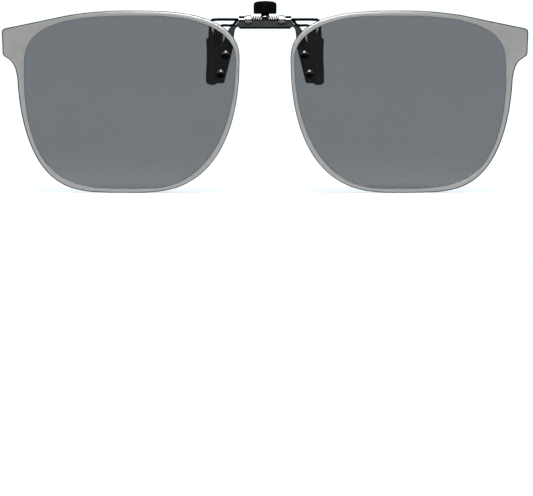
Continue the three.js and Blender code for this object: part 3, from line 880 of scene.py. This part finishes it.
def rivet_profile():
    """(radius, depth) pairs, from the dome in front of the lens to the closed tail."""
    head = LENS_DEPTH[0] - 0.05
    tail = BRACKET_DEPTH[1] + 0.05
    dome = []
    for k in range(10):
        a = math.radians(k * 10)
        dome.append((RIVET_HEAD * math.sin(a), head - 0.08 - RIVET_DOME * math.cos(a)))
    return [
        *dome, (RIVET_HEAD, head - 0.04), (RIVET_HEAD - 0.04, head), (RIVET_SHANK, head),
        (RIVET_SHANK, tail), (0.8, tail), (0.88, tail + 0.07), (0.84, tail + 0.18),
        (0.6, tail + 0.31), (0.3, tail + 0.35), (0, tail + 0.36),
    ]


def make_rivets_and_spacers():
    (inner, outer), (front, back) = (0.56, 1.0), (1.08, 1.4)
    ring = rounded([(inner, front), (outer, front), (outer, back), (inner, back)], 0.06)
    for level, (x, z) in RIVETS.items():
        for name, section, material, slot in (
            ("rivet_" + level, rivet_profile(), RIVET_LACQUER, "black_metal"),
            ("spacer_" + level, ring, NYLON, "nylon"),
        ):
            points, faces = turned(section, 36)
            shell = [on_face(x + u, depth, z + v) for depth, u, v in points], faces
            build_pair(name, [shell], material, "lens_carrier")


# ---------------------------------------------------------------- clip plate and claws


def make_clip_plate():
    half = outline(
        (0, 20.35), (7.35, 20.35), (7.75, 20.35, 7.75, 20.75), (7.75, 22.1), (7.3, 22.1),
        (7.3, 21.5), (7.28, 21.3, 7.05, 21.3), (5.3, 21.3), (5.2, 21.3, 5.2, 21.5), (5.2, 21.75),
        (3.62, 21.75), (3.62, 21.5), (3.62, 21.3, 3.5, 21.3), (0, 21.3),
    )
    plate = sheet(both_sides(half), PLATE_Y, PLATE_EDGE, pitch=0.8, place=upright)
    path = [(4.625, 21.45), (4.64, 21.75), (4.69, 22.1), *round_axis(0.83, 0, 288)]
    thickness = lambda t: 0.5 + 0.08 * min(1, 5 * t)
    knuckle = strap(path, x_middle=4.41, half_width=0.79, thickness=thickness, corner=0.18)
    build("clip_plate_fine", [plate, knuckle, *mirrored([knuckle])], BRIGHT_PLATING, "clip_base",
          ["clip_plate"])

    # (radius, x): the flange between the two knuckles, and the barrel inside the bracket's
    bushing = rounded([
        (0.42, 5.26), (0.95, 5.26), (0.95, 5.43), (0.62, 5.43, 0.03), (0.62, 7.1), (0.42, 7.1),
    ], 0.04)
    points, faces = turned(bushing, 44)
    shell = [(x, AXIS_Y + u, AXIS_Z + v) for x, u, v in points], faces
    build_pair("friction_bushing", [shell], BRIGHT_PLATING, "clip_base")


def front_claw_path():
    """From the weld on the plate's ear, out behind the bracket's arm and down into the sleeve."""
    middle = sum(PLATE_Y) / 2
    x, y = FRONT_CLAW
    points = [
        (7.87, middle, 21.8), (8.55, middle, 21.0), (9.3, middle, 20.8), (11.4, middle, 20.8),
        (x - 0.2, y + 0.15, 20.3), (x, y, 19.2), (x, y, 14), (x, y, 6.8),
    ]
    return smooth_path(points, 7)


def rear_claw_path():
    """Up one claw, across as the hinge pin, and down the other claw."""
    x, y = REAR_CLAW
    drop = [
        (13.2, AXIS_Y, AXIS_Z), (14.25, AXIS_Y + 0.12, AXIS_Z - 0.14),
        (14.75, AXIS_Y + 0.75, AXIS_Z - 0.8), (14.85, y - 0.4, 20.4), (14.8, y, 18.6),
        (x + 0.2, y, 16.4), (x, y, 12), (x, y, 6.0),
    ]
    rise = [(-x, y, z) for x, y, z in reversed(drop)]
    return smooth_path([*rise, (-6, AXIS_Y, AXIS_Z), (6, AXIS_Y, AXIS_Z), *drop], 8)


def sleeve(at, half_width, bottom, top, shape, wire, collar=None):
    """A moulded rubber sleeve: a flattened tube with flat grip faces and a rounded tip, and with
    a parting line down both sides. shape holds how wide it is from its tip to its shoulder, as
    shares of half_width, and its channel follows the wire. collar is how far up the wire a
    thinner neck reaches."""
    x, y = at
    half_depth, corner, tip, shoulder = 0.7, 0.42, 1.25, 0.5
    narrow, thin = 0.62, 0.8  # what the shoulder leaves of the width and the depth
    start, end = bottom + tip, top - shoulder
    turns = [math.pi / 2 * k / 6 for k in range(1, 7)]
    levels = []  # (height, share of half_width, share of half_depth)
    for a in turns:
        s = math.sin(a)
        levels.append((start - tip * math.cos(a), s**0.8 * shape[0], s**0.6))
    widths = smooth_path([(k, w, 0) for k, w in enumerate(shape)], 5)
    levels += [(start + (end - start) * p.x / (len(shape) - 1), p.y, 1) for p in widths[1:]]
    for a in turns:
        c = math.cos(a)
        width = shape[-1] * (narrow + (1 - narrow) * c)
        levels.append((end + shoulder * math.sin(a), width, thin + (1 - thin) * c))
    rows = []
    for z, width, depth in levels:
        w, d = half_width * width, half_depth * depth
        right = section_half(w, d, min(corner, 0.9 * w, 0.9 * d))
        rows.append([(x + u, y + v, z) for u, v in right + [(-u, -v) for u, v in right]])

    angles = [math.atan2(v - y, u - x) for u, v, _ in rows[len(rows) // 2]]
    inside = [Vector(p) for p in reversed(wire) if p[2] < (collar or top) - 0.02]
    if collar:
        above = [p for p in inside if p.z > top + 0.1]
        rows += [around(p, COLLAR_R, angles) for p in reversed(above)]
        inside[0] = above[0] + Vector((0, 0, 0.06))
        rows.append(around(inside[0], COLLAR_TOP_R, angles))
    else:
        inside.insert(0, Vector((inside[0].x, inside[0].y, top)))
    rows += [around(p, CHANNEL_R, angles) for p in inside]
    return loft(rows)


def around(centre, radius, angles):
    """A level ring of points, one at each angle."""
    x, y, z = centre
    return [(x + radius * math.cos(a), y + radius * math.sin(a), z) for a in angles]


def section_half(w, d, r):
    """Half of a sleeve's section, from its -Y corner round its +X side to its +Y corner. w and d
    are its half width and half depth, and r is its corner radius."""
    turns = [math.pi / 2 * k / 6 for k in range(7)]
    low = [(w - r + r * math.sin(a), -d + r - r * math.cos(a)) for a in turns]
    high = [(w - r + r * math.cos(a), d - r + r * math.sin(a)) for a in turns]
    parting = min(0.03, 0.1 * w)
    return [*low, (w, -0.07), (w + parting, 0), (w, 0.07), *high]


def make_claws():
    front, rear = front_claw_path(), rear_claw_path()
    weld = smooth_path([(7.62, 4.62, 21.95), (7.8, 4.62, 21.85), (8.02, 4.62, 21.62)], 4)
    shells = [round_wire(front, FRONT_WIRE_R), round_wire(weld, WELD_R)]
    build_pair("front_claw_wire", shells, WIRE_LACQUER, "clip_base")
    shell = sleeve(FRONT_CLAW, half_width=1.18, bottom=5.6, top=20.3,
                   shape=(1, 1, 1, 1.03, 1.06), wire=front)
    build_pair("front_claw_sleeve", [shell], SLEEVE_RUBBER, "clip_base")

    build("rear_claw_wire_fine", [round_wire(rear, WIRE_R)], WIRE_LACQUER, "rear_jaw",
          ["rear_claw_wire"])
    drop = [p for p in rear if p.x > 10]
    shell = sleeve(REAR_CLAW, half_width=1.55, bottom=4.6, top=17.4,
                   shape=(1.05, 1, 0.92, 0.93, 1), wire=drop, collar=19.6)
    build_pair("rear_claw_sleeve", [shell], SLEEVE_RUBBER, "rear_jaw")


# ---------------------------------------------------------------- thumb lever, pad and spring


def tongue(x, z):
    """How far back the pad's front lies: set back, but for the tongue that covers the lever's
    blade, and falling away a little to its sides."""
    bottom, top, fade, softness = 24.1, 26.6, 0.5, 0.07
    set_back, fall, pad_half_width = 0.2, 0.05, 3.1
    half_width = 1.15 - 0.3 * (z - bottom)
    rise = 1 / (1 + math.exp((abs(x) - half_width) / softness))
    rise *= min(1, max(0, (top - z) / fade))
    return set_back * (1 - rise) + fall * (x / pad_half_width) ** 2


def make_lever_and_pad():
    curl = round_axis(0.5, -300, 20, 10)
    stem = [
        (4.35, 22.75), (4.7, 23.08), (5.1, 23.46), (5.4, 23.78), (5.52, 24.05),
        (BLADE_Y, 24.5), (BLADE_Y, 26.5),
    ]
    path = curl + stem
    blade_start = (len(curl) + 1) / (len(path) - 1)
    half_width = lambda t: 0.42 if t < blade_start else 1.1
    thickness = lambda t: 0.22 if t < blade_start - 0.05 else 0.5
    lever = strap(path, 0, half_width, thickness, corner=0.06)
    build("thumb_lever_fine", [lever], BRACKET_LACQUER, "rear_jaw",
          ["thumb_lever"])

    half = outline(
        (0, 23.92), (2.75, 23.92), (3.08, 23.92, 3.1, 24.3), (3.12, 26.2),
        (3.12, 27.0, 2.4, 27.18), (1.2, 27.42, 0, 27.42), step=0.22,
    )
    pad = sheet(both_sides(half), PAD_Y, PAD_EDGE, pitch=0.14, place=upright, relief=tongue,
                edge_steps=7)
    build("thumb_pad_fine", [pad], PAD_RUBBER, "rear_jaw", ["thumb_pad"])


def make_spring():
    """The double torsion spring, made as its two halves. On the clip they twist as the rear jaw
    opens, but here nothing makes them twist.
    """
    start, end = -36, 4 * 360 + 83  # degrees about the axis, from the leg to the bridge
    steps = (end - start) // 15
    coil = []
    for k in range(steps + 1):
        a = math.radians(start + (end - start) * k / steps)
        x = SPRING_OUTER + (SPRING_INNER - SPRING_OUTER) * k / steps
        coil.append((x, AXIS_Y + SPRING_R * math.cos(a), AXIS_Z + SPRING_R * math.sin(a)))
    leg = [(SPRING_OUTER, 4.18, 20.75), (SPRING_OUTER, 4.18, 21.3)]
    _, y, z = coil[-1]
    bridge = [(0.35, y - 0.06, z + 0.02), (0, y - 0.07, z + 0.02)]
    half = smooth_path([*leg, *coil, *bridge], 2)
    for name, sign in (("left", 1), ("right", -1)):
        path = [(sign * p.x, p.y, p.z) for p in half]
        ends = [Vector((sign * x, AXIS_Y, AXIS_Z)) * MM + ORIGIN for x in (3.2, 0.7)]
        build("torsion_spring_" + name, [round_wire(path, SPRING_WIRE_R, 12)], BRIGHT_PLATING,
              ends, ["torsion_spring"])


# ---------------------------------------------------------------- the whole

place_camera()
light_stage()
make_rims_and_lenses()
make_bracket()
make_rivets_and_spacers()
make_clip_plate()
make_claws()
make_lever_and_pad()
make_spring()
